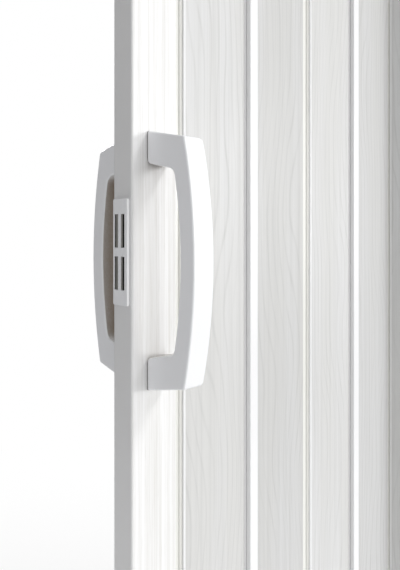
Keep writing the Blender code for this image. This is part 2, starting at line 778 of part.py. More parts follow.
def build_hanger(number, frame):
    """Moulded hanger over a hinge strip's top, with its pin and glider."""
    bead_edge = BEAD_SPACING / 2 + BEAD_RADIUS + FIT_GAP
    cap_edge = CAP_WIDTH / 2 + FIT_GAP
    bead_low = -BEAD_OFFSET - BEAD_RADIUS - FIT_GAP
    bead_high = BEAD_RADIUS + FIT_GAP - BEAD_OFFSET
    cap_low = CAP_UNDERSIDE - FIT_GAP
    cap_high = CAP_TOP + FIT_GAP
    side = max(bead_edge, cap_edge) + HANGER_WALL
    outline = rectangle((-side, bead_low - HANGER_WALL), (side, cap_high + HANGER_WALL), HANGER_CORNER_RADIUS)
    name = f"hanger_{number}"
    hanger = add_part(name, extruded(name, outline, [], HANGER_BOTTOM_Z, HANGER_TOP_Z), NYLON, frame)
    low = HANGER_BOTTOM_Z - CUT_MARGIN
    high = HANGER_BOTTOM_Z + HANGER_POCKET
    stem = STEM_WIDTH / 2 + FIT_GAP
    cut(hanger, box((-bead_edge, bead_low, low), (bead_edge, bead_high, high)))
    cut(hanger, box((-cap_edge, cap_low, low), (cap_edge, cap_high, high)))
    cut(hanger, box((-stem, -BEAD_OFFSET, low), (stem, CAP_TOP, high)))
    cut_pin_hole(hanger, 0)
    build_pin_and_glider(f"hanger_pin_{number}", f"glider_{number}", frame, 0)


def cut_pin_hole(part, x):
    top = (x, 0, HANGER_TOP_Z + CUT_MARGIN)
    cut(part, rod(PIN_RADIUS + PIN_CLEARANCE, top, (x, 0, HANGER_TOP_Z - PIN_DEPTH)))


def build_pin_and_glider(pin_name, glider_name, frame, x):
    """Pin standing in a hanger or post cap, and the glider that it carries in the track."""
    half_length = GLIDER_LENGTH / 2
    half_depth = TRACK_DEPTH / 2 - TRACK_WALL - GLIDER_SIDE_GAP
    outline = rectangle((x - half_length, -half_depth), (x + half_length, half_depth), GLIDER_CORNER_RADIUS)
    glider_top = GLIDER_BOTTOM_Z + GLIDER_HEIGHT
    mesh = extruded(glider_name, outline, [], GLIDER_BOTTOM_Z, glider_top)
    glider = add_part(glider_name, mesh, NYLON, frame)
    hole_end = (x, 0, GLIDER_BOTTOM_Z + PIN_DEPTH)
    cut(glider, rod(PIN_RADIUS + PIN_CLEARANCE, (x, 0, GLIDER_BOTTOM_Z - CUT_MARGIN), hole_end))
    top = GLIDER_BOTTOM_Z + PIN_DEPTH - FIT_GAP
    bottom = HANGER_TOP_Z - PIN_DEPTH + FIT_GAP
    collar_bottom = HANGER_TOP_Z + FIT_GAP
    collar_top = collar_bottom + PIN_COLLAR_HEIGHT
    profile = [
        (0, top),
        (PIN_RADIUS, top),
        (PIN_RADIUS, collar_top),
        (PIN_COLLAR_RADIUS, collar_top),
        (PIN_COLLAR_RADIUS, collar_bottom),
        (PIN_RADIUS, collar_bottom),
        (PIN_RADIUS, bottom),
        (0, bottom),
    ]
    add_turned_part(pin_name, profile, ZINC_STEEL, frame, (x, 0, 0))


# The lead post and everything that it carries

def build_post(frame):
    mesh = extruded("lead_post", post_outline(), post_chambers(), POST_BOTTOM_Z, POST_TOP_Z)
    post = add_part("lead_post", mesh, GRAINED_PVC, frame)
    half_width = CATCH_BODY_WIDTH / 2 + FIT_GAP
    half_height = CATCH_BODY_HEIGHT / 2 + FIT_GAP
    window_low = (LEAD_FACE - CUT_MARGIN, -half_width, CATCH_Z - half_height)
    window_high = (LEAD_FACE + POST_WALL + FIT_GAP, half_width, CATCH_Z + half_height)
    cut_long(post, box(window_low, window_high))
    for z in bolt_heights().values():
        near = (HANDLE_X, -POST_HALF - CUT_MARGIN, z)
        cut_long(post, rod(BOLT_RADIUS + BOLT_CLEARANCE, near, (HANDLE_X, POST_HALF + CUT_MARGIN, z)))
    add_strip("hinge_strip_lead", frame, (0, 0, 0), POST_BOTTOM_Z, SLAT_TOP_Z)


def build_post_cap(name, frame, plate_low, plate_high, spigot_end):
    """End plate of the post with a spigot in each of its chambers."""
    outline = rectangle((LEAD_FACE, -POST_HALF), (-LIP, POST_HALF), POST_EDGE_RADIUS)
    cap = add_part(name, extruded(name, outline, [], plate_low, plate_high), PLAIN_PVC, frame)
    plate_middle = (plate_low + plate_high) / 2
    low = min(plate_middle, spigot_end)
    high = max(plate_middle, spigot_end)
    reach = POST_INNER_HALF - FIT_GAP
    for start, end in POST_CHAMBERS:
        join(cap, box((start + FIT_GAP, -reach, low), (end - FIT_GAP, reach, high)))
    return cap


def build_post_caps(frame):
    top_end = POST_TOP_Z - POST_CAP_SPIGOT
    bottom_end = POST_BOTTOM_Z + POST_CAP_SPIGOT
    top = build_post_cap("post_cap_top", frame, POST_TOP_Z + FIT_GAP, HANGER_TOP_Z, top_end)
    build_post_cap("post_cap_bottom", frame, SLAT_BOTTOM_Z, POST_BOTTOM_Z - FIT_GAP, bottom_end)
    for side, (start, end) in zip(("left", "right"), POST_CHAMBERS):
        x = (start + end) / 2
        cut_pin_hole(top, x)
        build_pin_and_glider(f"lead_pin_{side}", f"lead_glider_{side}", frame, x)


def bolt_heights():
    rise = HANDLE_LENGTH / 2 - BOLT_INSET
    return {"upper": HANDLE_Z + rise, "lower": HANDLE_Z - rise}


def build_handle(name, frame, side):
    """One bow handle. Side is -1 on the front face of the post and 1 on the back."""
    base = side * (POST_HALF + FIT_GAP)
    mesh = lofted(name, handle_sections(side))
    return add_part(name, mesh, GLOSS_PLASTIC, frame, (HANDLE_X, base, HANDLE_Z), ACROSS)


def build_handles(frame):
    """Handles back to back on the post, held by bolts put in from the back one."""
    front = build_handle("handle_front", frame, -1)
    back = build_handle("handle_back", frame, 1)
    base = POST_HALF + FIT_GAP
    seat = base + BOLT_SEAT_REACH
    bore = BOLT_RADIUS + BOLT_CLEARANCE
    counterbore = BOLT_HEAD_RADIUS + BOLT_CLEARANCE
    outside = base + HANDLE_BOW_REACH + CUT_MARGIN
    bore_end = -base - BOLT_BORE_DEPTH
    shank = seat - bore_end
    profile = [
        (0, BOLT_HEAD_HEIGHT),
        (BOLT_HEAD_RADIUS, BOLT_HEAD_HEIGHT),
        (BOLT_HEAD_RADIUS, 0),
        (BOLT_RADIUS, 0),
        (BOLT_RADIUS, -shank),
        (0, -shank),
    ]
    for name, z in bolt_heights().items():
        cut(front, rod(bore, (HANDLE_X, CUT_MARGIN - base, z), (HANDLE_X, bore_end, z)))
        cut(back, rod(bore, (HANDLE_X, base - CUT_MARGIN, z), (HANDLE_X, seat + CUT_MARGIN, z)))
        cut(back, rod(counterbore, (HANDLE_X, seat, z), (HANDLE_X, outside, z)))
        place = (HANDLE_X, seat + FIT_GAP, z)
        add_turned_part(f"handle_bolt_{name}", profile, ZINC_STEEL, frame, place, (-math.pi / 2, 0, 0))


def build_catch(frame):
    """Magnetic catch: a housing in the lead edge, two magnets, and steel poles showing in slots."""
    origin = add_axis("catch_frame", frame, (LEAD_FACE, 0, CATCH_Z))
    flange_low = (CATCH_FLANGE_SHIFT - CATCH_WIDTH / 2, -CATCH_HEIGHT / 2)
    flange_high = (CATCH_FLANGE_SHIFT + CATCH_WIDTH / 2, CATCH_HEIGHT / 2)
    outline = rectangle(flange_low, flange_high, CATCH_CORNER_RADIUS)
    mesh = extruded("catch_housing", outline, [], -CATCH_PROUD, -FIT_GAP)
    bevelled(mesh, CATCH_BEVEL, lambda corner: abs(corner.z + CATCH_PROUD) < WELD_DISTANCE)
    housing = add_part("catch_housing", mesh, GLOSS_PLASTIC, origin, rotation=ACROSS)
    body_y = CATCH_BODY_WIDTH / 2
    body_z = CATCH_BODY_HEIGHT / 2
    flange_middle = -(CATCH_PROUD + FIT_GAP) / 2
    join(housing, box((flange_middle, -body_y, -body_z), (CATCH_BODY_DEPTH, body_y, body_z)))
    magnet_y = MAGNET_WIDTH / 2
    pole_start = magnet_y + FIT_GAP
    pole_end = pole_start + POLE_THICKNESS
    pocket_y = pole_end + FIT_GAP
    pocket_front = MAGNET_FRONT - FIT_GAP
    magnet_back = MAGNET_FRONT + MAGNET_DEPTH
    row_rise = (SLOT_LENGTH + SLOT_BAR) / 2
    pole_front = POLE_RECESS - CATCH_PROUD
    for row, z in (("upper", row_rise), ("lower", -row_rise)):
        pole_low = z - SLOT_LENGTH / 2 + FIT_GAP
        pole_high = z + SLOT_LENGTH / 2 - FIT_GAP
        slot_low = z - SLOT_LENGTH / 2
        slot_high = z + SLOT_LENGTH / 2
        behind = CATCH_BODY_DEPTH + CUT_MARGIN
        cut(housing, box((pocket_front, -pocket_y, slot_low), (behind, pocket_y, slot_high)))
        magnet_z = MAGNET_LENGTH / 2
        magnet = box((MAGNET_FRONT, -magnet_y, z - magnet_z), (magnet_back, magnet_y, z + magnet_z))
        add_part(f"catch_magnet_{row}", magnet, FERRITE, origin)
        for face, side in (("front", -1), ("back", 1)):
            slot_inner = pole_start - FIT_GAP
            slot_y = sorted((side * slot_inner, side * (slot_inner + SLOT_WIDTH)))
            slit_y = sorted((side * slot_inner, side * pocket_y))
            pole_y = sorted((side * pole_start, side * pole_end))
            front = -CATCH_PROUD - CUT_MARGIN
            slot_end = SLOT_DEPTH - CATCH_PROUD
            cut(housing, box((front, slot_y[0], slot_low), (slot_end, slot_y[1], slot_high)))
            cut(housing, box((slot_end - FIT_GAP, slit_y[0], slot_low), (behind, slit_y[1], slot_high)))
            pole = box((pole_front, pole_y[0], pole_low), (magnet_back, pole_y[1], pole_high))
            add_part(f"catch_pole_{row}_{face}", pole, ZINC_STEEL, origin)


def main():
    build_track()
    build_wall_jamb()
    build_strike_jamb()
    build_keeper()
    lead_frame = build_curtain()
    build_post(lead_frame)
    build_post_caps(lead_frame)
    build_handles(lead_frame)
    build_catch(lead_frame)


main()
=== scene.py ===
"""Looks of the accordion door: finishes, fasteners, stage, light and camera.

Metres, in the door's own frame: the track's top face is at z = 0, the door's front faces -Y, and
the lead post stands towards -X.
"""

import json
import math
from collections import namedtuple

import bmesh
import bpy
from mathutils import Matrix, Vector


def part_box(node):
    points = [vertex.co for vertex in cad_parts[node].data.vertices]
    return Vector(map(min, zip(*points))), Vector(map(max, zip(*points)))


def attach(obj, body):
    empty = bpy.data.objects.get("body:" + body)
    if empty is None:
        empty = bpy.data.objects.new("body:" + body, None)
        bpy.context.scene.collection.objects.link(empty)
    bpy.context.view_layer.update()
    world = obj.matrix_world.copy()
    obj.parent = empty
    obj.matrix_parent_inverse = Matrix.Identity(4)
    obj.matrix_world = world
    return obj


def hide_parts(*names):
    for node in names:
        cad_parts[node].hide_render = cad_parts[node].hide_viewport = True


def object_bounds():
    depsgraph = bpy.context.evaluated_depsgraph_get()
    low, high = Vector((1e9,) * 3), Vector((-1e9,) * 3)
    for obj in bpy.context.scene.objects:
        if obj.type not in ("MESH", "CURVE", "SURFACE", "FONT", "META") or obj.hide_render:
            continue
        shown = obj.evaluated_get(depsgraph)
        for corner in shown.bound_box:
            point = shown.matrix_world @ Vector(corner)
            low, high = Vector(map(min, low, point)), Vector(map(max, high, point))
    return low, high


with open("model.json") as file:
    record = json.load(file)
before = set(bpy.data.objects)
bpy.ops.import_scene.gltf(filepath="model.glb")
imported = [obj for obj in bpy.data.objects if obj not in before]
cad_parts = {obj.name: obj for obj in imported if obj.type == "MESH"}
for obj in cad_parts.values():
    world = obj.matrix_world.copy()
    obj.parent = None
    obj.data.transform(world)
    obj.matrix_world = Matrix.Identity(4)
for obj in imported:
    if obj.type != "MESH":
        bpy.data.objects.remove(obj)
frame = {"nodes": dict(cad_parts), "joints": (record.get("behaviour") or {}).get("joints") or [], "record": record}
cad_low, cad_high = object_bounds()

# Camera: level, with a shifted lens, left of the door and close to its front
CAMERA_PLACE = (-0.4462, -0.3288, -1.0086)
CAMERA_YAW = math.radians(-42.85)
CAMERA_LENS = 33.72
CAMERA_SENSOR = 36.0
CAMERA_SHIFT = (-0.0078, -0.0937)
CAMERA_NEAR = 0.01

# Floor
FLOOR_RADIUS = 2.2
FLOOR_PLAIN_RADIUS = 0.45
FLOOR_SIDES = 96
FLOOR_GREY = (0.9, 0.9, 0.9)
FLOOR_ROUGHNESS = 0.7

# Lamps: name, place and power in watts
LAMP_SIZE = 1.2
LAMP_TARGET = (-0.15, 0.0, -1.0)
LAMPS = (
    ("front_lamp", (0.305, -4.555, -0.544), 22),
    ("right_lamp", (2.715, -3.581, -0.642), 59),
    ("high_lamp", (1.947, -2.621, 2.145), 65),
    ("back_lamp", (1.9, 4.0, 0.6), 85),
)

# Surroundings, each sweep with its axis, where it starts and ends, and the colour it ends in
WORLD_LEFT = (0.63, 0.65, 0.71)
WORLD_RIGHT = (0.30, 0.30, 0.30)
WORLD_FRONT = (1.0, 1.0, 1.0)
WORLD_BACK = (0.16, 0.15, 0.14)
WORLD_TOP = (0.52, 0.52, 0.52)
WORLD_BELOW = (0.05, 0.05, 0.05)
WORLD_SWEEPS = (
    ("X", -0.5, 0.5, WORLD_RIGHT),
    ("Y", 0.05, -0.45, WORLD_FRONT),
    ("Y", 0.1, 0.6, WORLD_BACK),
    ("Z", 0.3, 0.8, WORLD_TOP),
    ("Z", 0.0, -0.2, WORLD_BELOW),
)
BACKDROP = (1.0, 1.0, 1.0)

# Row of slats, and the hinge strips at its two ends
SLAT_COUNT = 8
FIRST_FLAT_SLAT = 5
END_STRIPS = {"wall": 0, "lead": SLAT_COUNT}

# Meshes
WELD_DISTANCE = 0.00001
FLAT_ANGLE = math.radians(0.5)
SHARP_ANGLE = math.radians(35)
IN_PLACE = Matrix.Identity(4)

# Cross recess in a screw or bolt head, in shares of the head's radius
CROSS_REACH = 0.62
CROSS_HALF_WIDTH = 0.13
CROSS_DEPTH = 0.55
CROSS_TAPER = 0.45
CROSS_OVERLAP = 0.1

# Places on a piece where its finish or its painted shade changes, and profiles of (what is measured, share of the
# finish or shade)
# Past this edge the lips are bare and lighter; beside a raised cap the lighter lip is also painted light
FILM_EDGE = 0.0348
FILM_FADE = 0.0008
GROOVE_DEPTH = 0.0095
FOOT_SHADOW_WIDTH = 0.0010
RECESS_DISTANCE = 0.15
RECESS_SAMPLES = 16
RECESS_PROFILE = ((0.25, 1), (0.55, 0))
BROAD_PROFILE = ((0.4, 0), (0.85, 1))
SLOT_RIM = 0.00032
SLOT_FADE = 0.00008
SLOT_REACH_ACROSS = 0.0065
SLOT_REACH_ALONG = 0.0285
POLE_EDGE = 0.0039

# Colours
BARE_PVC = (0.835, 0.835, 0.84)
JAMB_PVC = (0.80, 0.80, 0.805)
GLOSS_WHITE = (0.87, 0.875, 0.89)
NATURAL_NYLON = (0.78, 0.77, 0.72)
TRACK_WHITE = (0.78, 0.78, 0.78)
ZINC = (0.60, 0.61, 0.60)
BRIGHT_ZINC = (0.72, 0.73, 0.70)
DARK_FERRITE = (0.035, 0.035, 0.038)
# Painted shade that darkens the handles where the pieces around close in
RECESS_PAINTED_SHADE = (0.15, 0.10, 0.055)
# Painted shadow along the line where the handles' feet meet the post
FOOT_PAINTED_SHADOW = (0.15, 0.145, 0.14)
# Painted shade for the hinge strips where they lie in the groove
GROOVE_PAINTED_SHADE = (0.74, 0.74, 0.705)
# Painted shade inside the catch's slots
SLOT_PAINTED_SHADE = (0.15, 0.15, 0.14)
# Painted shade for the poles, deep in the slots and along the front poles' front edge
POLE_PAINTED_SHADE = (0.004, 0.004, 0.004)

# Films: colours, and the strengths of growth lines and fibres
POST_LIGHT = (0.845, 0.845, 0.845)
POST_DARK = (0.70, 0.692, 0.67)
# Painted shade: share of the post's colour left on its narrow edges
POST_EDGE_SHADE_SHARE = 0.89
POST_SHIFT = 3.1
POST_GROWTH = 0.12
POST_FIBRES = 0.55
SLAT_LIGHT = (0.665, 0.665, 0.665)
SLAT_DARK = (0.55, 0.55, 0.54)
SLAT_TONES = (0.975, 0.89)
SLAT_SHIFT = 0.37
SLAT_GROWTH = 0.68
SLAT_FIBRES = 0.40
CLOUD_TINT = (0.955, 0.952, 0.935)
FILM_ROUGHNESS = (0.42, 0.58)
EMBOSS_STRENGTH = 0.25
EMBOSS_DEPTH = 0.0002

# Wood grain that runs along Z: stretches of its patterns, and profiles of (pattern, strength)
WANDER_STRETCH = (14, 14, 3.8)
WANDER_REACH = 0.038
GROWTH_SCALE = 38
GROWTH_DISTORTION = 1.6
GROWTH_DETAIL = 1.5
GROWTH_DETAIL_SCALE = 0.35
GROWTH_PROFILE = ((0.0, 0.2), (0.06, 0), (0.74, 0.05), (0.89, 1), (1.0, 0.2))
PATCH_STRETCH = (60, 60, 4)
PATCH_PROFILE = ((0.35, 0.15), (0.6, 1))
CLOUD_STRETCH = (26, 26, 1.6)
CLOUD_PROFILE = ((0.42, 0), (0.62, 1))

# Straight fibres of the grain: coarse bands, fine lines and pores
Fibres = namedtuple("Fibres", "stretch shifts detail roughness profile share")
FIBRES = (
    Fibres((240, 240, 2.5), (1, 0, 1), 2.0, 0.5, ((0.42, 0), (0.7, 1)), 0.6),
    Fibres((620, 620, 5), (0, 0, 1), 3.0, 0.6, ((0.44, 0), (0.66, 1)), 1.0),
    Fibres((1700, 1700, 60), (1, 0, 0), 1.0, 0.5, ((0.62, 0), (0.72, 1)), 0.5),
)

# Plastics
GLOSS_ROUGHNESS = 0.34
NYLON_ROUGHNESS = 0.42
ROUGHNESS_SPREAD = 0.05
MOTTLE_SCALE = 35
DIE_LINES = (900, 900, 10)
GRAIN_DEPTH = 0.00008

# Metals and ferrite: roughness from low to high, and the share of their colour in clouds and grains
STEEL_ROUGHNESS = (0.29, 0.48)
STEEL_CLOUDS = 0.78
STEEL_DRAW_LINES = (2600, 2600, 120)
FERRITE_ROUGHNESS = (0.5, 0.75)
FERRITE_GRAINS = 2.2
FERRITE_PROFILE = ((0.5, 0), (0.75, 1))
PAINT_ROUGHNESS = (0.28, 0.4)
PAINT_CLOUDS = 0.96

# Numbers of the colour sockets on a Mix node
MIX_FIRST = 6
MIX_SECOND = 7
MIX_RESULT = 2


# Node helpers

def new_material(name):
    material = bpy.data.materials.new(name)
    material.use_nodes = True
    tree = material.node_tree
    return material, tree, tree.nodes["Principled BSDF"]


def add_node(tree, kind, **settings):
    node = tree.nodes.new(kind)
    for setting, value in settings.items():
        setattr(node, setting, value)
    return node


def own_coordinates(tree, offset=(0, 0, 0), scale=(1, 1, 1)):
    """The piece's own coordinates, stretched and then moved."""
    source = add_node(tree, "ShaderNodeTexCoord")
    mapping = add_node(tree, "ShaderNodeMapping")
    mapping.inputs["Location"].default_value = offset
    mapping.inputs["Scale"].default_value = scale
    tree.links.new(source.outputs["Object"], mapping.inputs["Vector"])
    return mapping.outputs["Vector"]


def components(tree, vector):
    """A vector's X, Y and Z sockets, by name."""
    node = add_node(tree, "ShaderNodeSeparateXYZ")
    tree.links.new(vector, node.inputs["Vector"])
    return node.outputs


def noise(tree, vector, scale=1.0, detail=2.0, roughness=0.5):
    node = add_node(tree, "ShaderNodeTexNoise")
    node.inputs["Scale"].default_value = scale
    node.inputs["Detail"].default_value = detail
    node.inputs["Roughness"].default_value = roughness
    tree.links.new(vector, node.inputs["Vector"])
    return node.outputs["Fac"]


def ramp(tree, value, profile):
    """Grey ramp from pairs of position and level."""
    node = add_node(tree, "ShaderNodeValToRGB")
    elements = node.color_ramp.elements
    while len(elements) < len(profile):
        elements.new(0.5)
    for element, (position, level) in zip(elements, profile):
        element.position = position
        element.color = (level, level, level, 1)
    tree.links.new(value, node.inputs["Fac"])
    return node.outputs["Color"]


def arithmetic(tree, operation, first, second=0.0):
    """Math node on two sockets or numbers."""
    node = add_node(tree, "ShaderNodeMath", operation=operation)
    for socket, value in zip(node.inputs, (first, second)):
        if isinstance(value, (int, float)):
            socket.default_value = value
        else:
            tree.links.new(value, socket)
    return node.outputs["Value"]


def blend_colours(tree, factor, low, high):
    """Mix of two colours, each a tuple or a socket, by a factor socket."""
    node = add_node(tree, "ShaderNodeMix", data_type="RGBA")
    tree.links.new(factor, node.inputs["Factor"])
    for socket, colour in ((node.inputs[MIX_FIRST], low), (node.inputs[MIX_SECOND], high)):
        if isinstance(colour, tuple):
            socket.default_value = (*colour, 1)
        else:
            tree.links.new(colour, socket)
    return node.outputs[MIX_RESULT]


def value_between(tree, factor, low, high):
    """Low where the factor is 0, high where it is 1."""
    node = add_node(tree, "ShaderNodeMapRange")
    node.inputs["To Min"].default_value = low
    node.inputs["To Max"].default_value = high
    tree.links.new(factor, node.inputs["Value"])
    return node.outputs["Result"]


def rise(tree, value, start, end, interpolation="LINEAR"):
    """0 where the value is at start, 1 where it is at end."""
    node = add_node(tree, "ShaderNodeMapRange", interpolation_type=interpolation)
    node.inputs["From Min"].default_value = start
    node.inputs["From Max"].default_value = end
    tree.links.new(value, node.inputs["Value"])
    return node.outputs["Result"]


def bump(tree, shader, height, strength, distance):
    node = add_node(tree, "ShaderNodeBump")
    node.inputs["Strength"].default_value = strength
    node.inputs["Distance"].default_value = distance
    tree.links.new(height, node.inputs["Height"])
    tree.links.new(node.outputs["Normal"], shader.inputs["Normal"])


def scaled(values, share):
    return tuple(value * share for value in values)


# Masks: 1 where a finish or a painted shade lies, 0 elsewhere

def bare_lips_and_painted_light(tree, side):
    """The two lips of a slat that the film leaves bare, on its front (-1) or its back (1); the one beside a raised
    cap is also painted light against the cap's shadow.
    """
    place = components(tree, own_coordinates(tree))
    away = arithmetic(tree, "ABSOLUTE", place["X"])
    lip = rise(tree, away, FILM_EDGE - FILM_FADE, FILM_EDGE)
    outward = arithmetic(tree, "MULTIPLY", place["Y"], side)
    on_face = arithmetic(tree, "GREATER_THAN", outward, 0.0)
    return arithmetic(tree, "MULTIPLY", lip, on_face)


def broad_faces(tree):
    """A piece's front and back, without its narrow edges."""
    source = add_node(tree, "ShaderNodeTexCoord")
    direction = components(tree, source.outputs["Normal"])
    facing = arithmetic(tree, "ABSOLUTE", direction["Y"])
    return ramp(tree, facing, BROAD_PROFILE)


def deep_slots(tree):
    """Painted shade: the slots of the catch, just below its face."""
    low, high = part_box("catch_housing")
    middle = (low + high) / 2
    place = components(tree, own_coordinates(tree, offset=(-low.x, 0, -middle.z)))
    inside = rise(tree, place["X"], SLOT_RIM, SLOT_RIM + SLOT_FADE)
    for axis, reach in (("Y", SLOT_REACH_ACROSS), ("Z", SLOT_REACH_ALONG)):
        away = arithmetic(tree, "ABSOLUTE", place[axis])
        inside = arithmetic(tree, "MULTIPLY", inside, arithmetic(tree, "LESS_THAN", away, reach))
    return inside


def painted_pole_edge_shade(tree):
    """Painted shade: the front edge of a front pole, darkened to widen the shaded gap beside it."""
    place = components(tree, own_coordinates(tree))
    return arithmetic(tree, "LESS_THAN", place["Y"], -POLE_EDGE)


def painted_recess_shade(tree):
    """Painted shade: 1 where the pieces around close in, read from ambient occlusion."""
    node = add_node(tree, "ShaderNodeAmbientOcclusion", samples=RECESS_SAMPLES)
    node.inputs["Distance"].default_value = RECESS_DISTANCE
    return ramp(tree, node.outputs["AO"], RECESS_PROFILE)


def painted_foot_shadow(tree):
    """Painted shadow: the thin dark line where the feet of a handle meet the post."""
    place = components(tree, own_coordinates(tree))
    away = arithmetic(tree, "ABSOLUTE", place["Y"])
    return arithmetic(tree, "LESS_THAN", away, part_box("lead_post")[1].y + FOOT_SHADOW_WIDTH)


def groove_side(tree):
    """Painted shade: the side of a hinge strip that lies in the groove, away from its cap."""
    place = components(tree, own_coordinates(tree))
    return arithmetic(tree, "LESS_THAN", place["Y"], -GROOVE_DEPTH)


def paint_shade(material, mask, colour):
    """Lays painted shade, a darker colour, over a material's own colour where the mask says."""
    tree = material.node_tree
    base = tree.nodes["Principled BSDF"].inputs["Base Color"]
    plain = base.links[0].from_socket
    tree.links.new(blend_colours(tree, mask(tree), plain, colour), base)


# Wood-grain films

def growth_lines(tree, shift):
    """Growth lines that wander across the piece and fade in patches."""
    offset = (shift, 0, shift)
    wander = noise(tree, own_coordinates(tree, offset, WANDER_STRETCH), detail=1.0)
    sway = add_node(tree, "ShaderNodeCombineXYZ")
    tree.links.new(value_between(tree, wander, -WANDER_REACH, WANDER_REACH), sway.inputs["X"])
    swayed = add_node(tree, "ShaderNodeVectorMath", operation="ADD")
    tree.links.new(own_coordinates(tree, offset), swayed.inputs[0])
    tree.links.new(sway.outputs["Vector"], swayed.inputs[1])
    wave = add_node(
        tree, "ShaderNodeTexWave", wave_type="BANDS", bands_direction="X", wave_profile="SAW"
    )
    wave.inputs["Scale"].default_value = GROWTH_SCALE
    wave.inputs["Distortion"].default_value = GROWTH_DISTORTION
    wave.inputs["Detail"].default_value = GROWTH_DETAIL
    wave.inputs["Detail Scale"].default_value = GROWTH_DETAIL_SCALE
    tree.links.new(swayed.outputs["Vector"], wave.inputs["Vector"])
    lines = ramp(tree, wave.outputs["Fac"], GROWTH_PROFILE)
    patches = noise(tree, own_coordinates(tree, offset, PATCH_STRETCH))
    return arithmetic(tree, "MULTIPLY", lines, ramp(tree, patches, PATCH_PROFILE))


def wood_figure(tree, shift, growth_strength, fibre_strength):
    """Print of the grain, 0 to 1: growth lines and straight fibres, moved along by the shift."""
    figure = arithmetic(tree, "MULTIPLY", growth_lines(tree, shift), growth_strength)
    for fibres in FIBRES:
        vector = own_coordinates(tree, scaled(fibres.shifts, shift), fibres.stretch)
        pattern = noise(tree, vector, detail=fibres.detail, roughness=fibres.roughness)
        lines = ramp(tree, pattern, fibres.profile)
        printed = arithmetic(tree, "MULTIPLY", lines, fibre_strength * fibres.share)
        figure = arithmetic(tree, "ADD", figure, printed)
    return arithmetic(tree, "MINIMUM", figure, 1.0)


def finish_film(tree, shader, colour, figure):
    """Colour, roughness and embossing of a film, from its figure."""
    tree.links.new(colour, shader.inputs["Base Color"])
    tree.links.new(value_between(tree, figure, *FILM_ROUGHNESS), shader.inputs["Roughness"])
    height = arithmetic(tree, "SUBTRACT", 1.0, figure)
    bump(tree, shader, height, EMBOSS_STRENGTH, EMBOSS_DEPTH)


def post_film(name):
    """White film with a straight grain, plain on the narrow edges and a little darker there with painted shade."""
    material, tree, shader = new_material(name)
    broad = broad_faces(tree)
    figure = wood_figure(tree, POST_SHIFT, POST_GROWTH, POST_FIBRES)
    figure = arithmetic(tree, "MULTIPLY", figure, broad)
    # Painted shade darkens the narrow edges a little
    ground = blend_colours(tree, broad, scaled(POST_LIGHT, POST_EDGE_SHADE_SHARE), POST_LIGHT)
    finish_film(tree, shader, blend_colours(tree, figure, ground, POST_DARK), figure)
    return material


def slat_film(number):
    """White film with wandering growth lines and faint clouds, which leaves two lips bare; the lighter bare lip
    beside a raised cap is also painted light against its shadow.
    """
    odd = number % 2
    light = scaled(SLAT_LIGHT, SLAT_TONES[odd])
    dark = scaled(SLAT_DARK, SLAT_TONES[odd])
    shift = SLAT_SHIFT * number
    material, tree, shader = new_material(f"slat_wood_film_{number}")
    figure = wood_figure(tree, shift, SLAT_GROWTH, SLAT_FIBRES)
    figure = arithmetic(tree, "MULTIPLY", figure, broad_faces(tree))
    clouds = noise(tree, own_coordinates(tree, (shift, 0, shift), CLOUD_STRETCH))
    cloudy = tuple(level * share for level, share in zip(light, CLOUD_TINT))
    ground = blend_colours(tree, ramp(tree, clouds, CLOUD_PROFILE), light, cloudy)
    # Bare lips, partly painted light that offsets a raised cap's shadow
    bare = bare_lips_and_painted_light(tree, side=1 if odd else -1)
    figure = arithmetic(tree, "MULTIPLY", figure, arithmetic(tree, "SUBTRACT", 1.0, bare))
    colour = blend_colours(tree, bare, blend_colours(tree, figure, ground, dark), BARE_PVC)
    finish_film(tree, shader, colour, figure)
    return material


# Plastics and metals

def moulded_plastic(name, colour, roughness, grain_scale, grain_strength, mottling=0.035,
                    stretch=(1, 1, 1)):
    """Plain plastic with faint mottling and a fine surface texture."""
    material, tree, shader = new_material(name)
    mottle = noise(tree, own_coordinates(tree), MOTTLE_SCALE, detail=3.0)
    mottled = blend_colours(tree, mottle, colour, scaled(colour, 1 - mottling))
    tree.links.new(mottled, shader.inputs["Base Color"])
    sheen = value_between(tree, mottle, roughness - ROUGHNESS_SPREAD, roughness + ROUGHNESS_SPREAD)
    tree.links.new(sheen, shader.inputs["Roughness"])
    grain = noise(tree, own_coordinates(tree, scale=stretch), grain_scale)
    bump(tree, shader, grain, grain_strength, GRAIN_DEPTH)
    return material


def gloss_plastic(name):
    """Smooth white moulding."""
    return moulded_plastic(
        name, GLOSS_WHITE, GLOSS_ROUGHNESS, grain_scale=1400, grain_strength=0.06, mottling=0.012
    )


def extruded_pvc(name, colour):
    """Plain extrusion with faint die lines along it."""
    return moulded_plastic(
        name, colour, GLOSS_ROUGHNESS, grain_scale=1.0, grain_strength=0.2, stretch=DIE_LINES
    )


def plated_steel(name, colour):
    """Zinc plating with a drawn grain and faint clouds."""
    material, tree, shader = new_material(name)
    clouds = noise(tree, own_coordinates(tree), scale=260, detail=3.0)
    cloudy = blend_colours(tree, clouds, colour, scaled(colour, STEEL_CLOUDS))
    tree.links.new(cloudy, shader.inputs["Base Color"])
    drawn = noise(tree, own_coordinates(tree, scale=STEEL_DRAW_LINES))
    tree.links.new(value_between(tree, drawn, *STEEL_ROUGHNESS), shader.inputs["Roughness"])
    shader.inputs["Metallic"].default_value = 1.0
    bump(tree, shader, drawn, strength=0.15, distance=0.00004)
    return material


